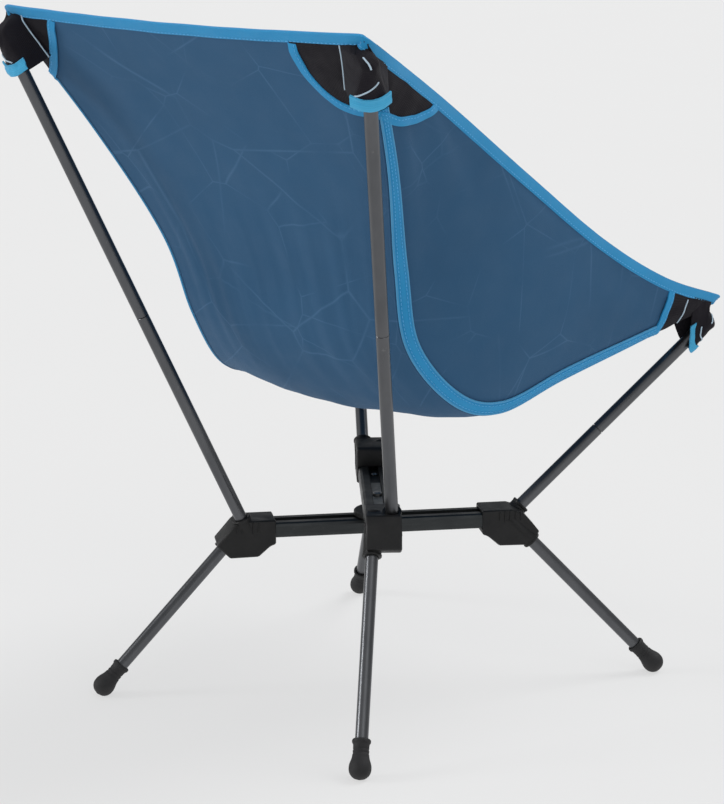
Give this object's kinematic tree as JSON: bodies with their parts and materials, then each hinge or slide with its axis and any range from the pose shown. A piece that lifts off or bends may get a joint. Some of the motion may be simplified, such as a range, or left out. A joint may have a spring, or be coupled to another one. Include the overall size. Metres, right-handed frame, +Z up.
{
  "type": "ultralight backpacking chair",
  "caption": "Low folding camp chair: sling seat of dark blue fabric with bright blue binding, held by shock-corded aluminium poles in an X-shaped hub base with rubber feet",
  "frame": {"origin": "centre of the chair's box on the floor, midway between its extremes left to right and front to back", "axes": "+Z up, the chair faces -Y, the sitter's right hand is at -X"},
  "size_m": [0.4559, 0.5629, 0.6666],
  "materials": {
    "pole": "gunmetal anodised, satin",
    "crossbar": "dark grey anodised extrusion, satin",
    "steel_plate": "dull grey plated steel",
    "rivet_steel": "plated steel",
    "hub_nylon": "black glass-filled nylon, fine grain",
    "foot_rubber": "black moulded rubber",
    "elastic_cord": "braided sheath over elastic",
    "panel_fabric": "dusty navy woven polyester with a faint fracture-line print",
    "trim_webbing": "bright blue woven tape",
    "patch_fabric": "black heavy nylon"
  },
  "bodies": {
    "lower_frame": {"lower_crossbar": "crossbar", "pivot_spacer": "hub_nylon", "pivot_rivet": "rivet_steel", "hub_back_left": "hub_nylon", "hub_rivet_back_left": "rivet_steel", "shock_cord_back_left": "elastic_cord", "hub_front_right": "hub_nylon", "hub_rivet_front_right": "rivet_steel", "shock_cord_front_right": "elastic_cord"},
    "upper_frame": {"upper_crossbar": "crossbar", "pivot_plate": "steel_plate", "hub_back_right": "hub_nylon", "hub_rivet_back_right": "rivet_steel", "shock_cord_back_right": "elastic_cord", "hub_front_left": "hub_nylon", "hub_rivet_front_left": "rivet_steel", "shock_cord_front_left": "elastic_cord"},
    "seat": {"seat_centre_panel": "panel_fabric", "seat_side_panel_left": "panel_fabric", "seat_side_panel_right": "panel_fabric", "seam_tape_left": "trim_webbing", "seam_tape_right": "trim_webbing", "edge_binding": "trim_webbing", "corner_patch_back_left": "patch_fabric", "tip_sleeve_back_left": "patch_fabric", "pull_tab_back_left": "trim_webbing", "corner_patch_back_right": "patch_fabric", "tip_sleeve_back_right": "patch_fabric", "pull_tab_back_right": "trim_webbing", "corner_patch_front_left": "patch_fabric", "tip_sleeve_front_left": "patch_fabric", "pull_tab_front_left": "trim_webbing", "corner_patch_front_right": "patch_fabric", "tip_sleeve_front_right": "patch_fabric", "pull_tab_front_right": "trim_webbing"},
    "upright_back_left": {"upright_lower_back_left": "pole", "upright_upper_back_left": "pole", "ferrule_back_left": "pole", "pole_tip_back_left": "hub_nylon"},
    "leg_assembly_back_left": {"leg_back_left": "pole", "foot_back_left": "foot_rubber"},
    "upright_back_right": {"upright_lower_back_right": "pole", "upright_upper_back_right": "pole", "ferrule_back_right": "pole", "pole_tip_back_right": "hub_nylon"},
    "leg_assembly_back_right": {"leg_back_right": "pole", "foot_back_right": "foot_rubber"},
    "upright_front_left": {"upright_lower_front_left": "pole", "upright_upper_front_left": "pole", "ferrule_front_left": "pole", "pole_tip_front_left": "hub_nylon"},
    "leg_assembly_front_left": {"leg_front_left": "pole", "foot_front_left": "foot_rubber"},
    "upright_front_right": {"upright_lower_front_right": "pole", "upright_upper_front_right": "pole", "ferrule_front_right": "pole", "pole_tip_front_right": "hub_nylon"},
    "leg_assembly_front_right": {"leg_front_right": "pole", "foot_front_right": "foot_rubber"}
  },
  "joints": [
    {"name": "base_fold", "type": "hinge", "parent": "lower_frame", "child": "upper_frame", "pos_m": [-0.0062, -0.0129, 0.1695], "axis": [0, 0, -1], "range_deg": [0, 60]},
    {"name": "seat_lift", "type": "slide", "parent": "lower_frame", "child": "seat", "axis": [0, 0, 1], "range_m": [0, 0.32], "deforming": ["seat_centre_panel", "seat_side_panel_left", "seat_side_panel_right", "seam_tape_left", "seam_tape_right", "edge_binding", "corner_patch_back_left", "tip_sleeve_back_left", "pull_tab_back_left", "corner_patch_back_right", "tip_sleeve_back_right", "pull_tab_back_right", "corner_patch_front_left", "tip_sleeve_front_left", "pull_tab_front_left", "corner_patch_front_right", "tip_sleeve_front_right", "pull_tab_front_right"]},
    {"name": "upright_pull_back_left", "type": "slide", "parent": "lower_frame", "child": "upright_back_left", "axis": [0.2284, 0.346, 0.91], "range_m": [0, 0.026]},
    {"name": "leg_pull_back_left", "type": "slide", "parent": "lower_frame", "child": "leg_assembly_back_left", "axis": [0.3856, 0.5649, -0.7295], "range_m": [0, 0.025]},
    {"name": "upright_pull_back_right", "type": "slide", "parent": "upper_frame", "child": "upright_back_right", "axis": [-0.2429, 0.368, 0.8975], "range_m": [0, 0.026]},
    {"name": "leg_pull_back_right", "type": "slide", "parent": "upper_frame", "child": "leg_assembly_back_right", "axis": [-0.3408, 0.4992, -0.7966], "range_m": [0, 0.025]},
    {"name": "upright_pull_front_right", "type": "slide", "parent": "lower_frame", "child": "upright_front_right", "axis": [-0.4833, -0.5265, 0.6995], "range_m": [0, 0.026]},
    {"name": "leg_pull_front_right", "type": "slide", "parent": "lower_frame", "child": "leg_assembly_front_right", "axis": [-0.5165, -0.4632, -0.7202], "range_m": [0, 0.025]},
    {"name": "upright_pull_front_left", "type": "slide", "parent": "upper_frame", "child": "upright_front_left", "axis": [0.5292, -0.5765, 0.6226], "range_m": [0, 0.026]},
    {"name": "leg_pull_front_left", "type": "slide", "parent": "upper_frame", "child": "leg_assembly_front_left", "axis": [0.4577, -0.4105, -0.7887], "range_m": [0, 0.025]}
  ],
  "couplings": [
    {"joint": "seat_lift", "follows": "base_fold", "m_per_rad": 0.28648},
    {"joint": "upright_pull_back_left", "follows": "base_fold", "m_per_rad": 0.02387},
    {"joint": "upright_pull_back_right", "follows": "base_fold", "m_per_rad": 0.02387},
    {"joint": "upright_pull_front_right", "follows": "base_fold", "m_per_rad": 0.02387},
    {"joint": "upright_pull_front_left", "follows": "base_fold", "m_per_rad": 0.02387}
  ]
}
